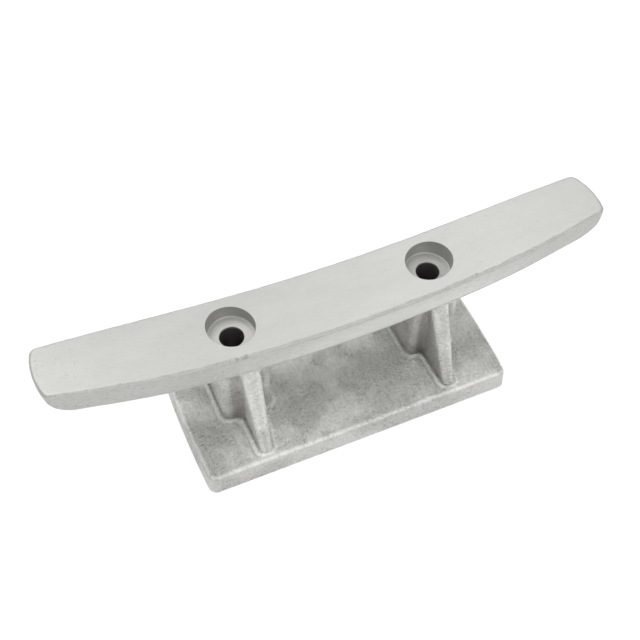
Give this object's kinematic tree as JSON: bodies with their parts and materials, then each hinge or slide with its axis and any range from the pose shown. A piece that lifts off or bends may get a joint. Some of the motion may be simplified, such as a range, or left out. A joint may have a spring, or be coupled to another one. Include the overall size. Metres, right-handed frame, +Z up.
{
  "type": "dock horn cleat",
  "caption": "Cast dock cleat: a crescent horn bar on ribbed pedestals and a rectangular base, drilled and counterbored for bolts, for tying off rope.",
  "frame": {"origin": "middle of the base's underside", "axes": "+Z up out of the base, X along the horn bar, Y across it"},
  "size_m": [0.2566, 0.0808, 0.0725],
  "materials": {
    "sand_cast": "as-cast, sandy and dull",
    "ground_face": "linished along the bar, satin"
  },
  "bodies": {
    "root": {"base_plate": "sand_cast", "left_boss": "sand_cast", "left_front_rib": "sand_cast", "left_back_rib": "sand_cast", "right_boss": "sand_cast", "right_front_rib": "sand_cast", "right_back_rib": "sand_cast", "horn_bridge": "ground_face", "left_horn": "ground_face", "right_horn": "ground_face"}
  },
  "joints": []
}
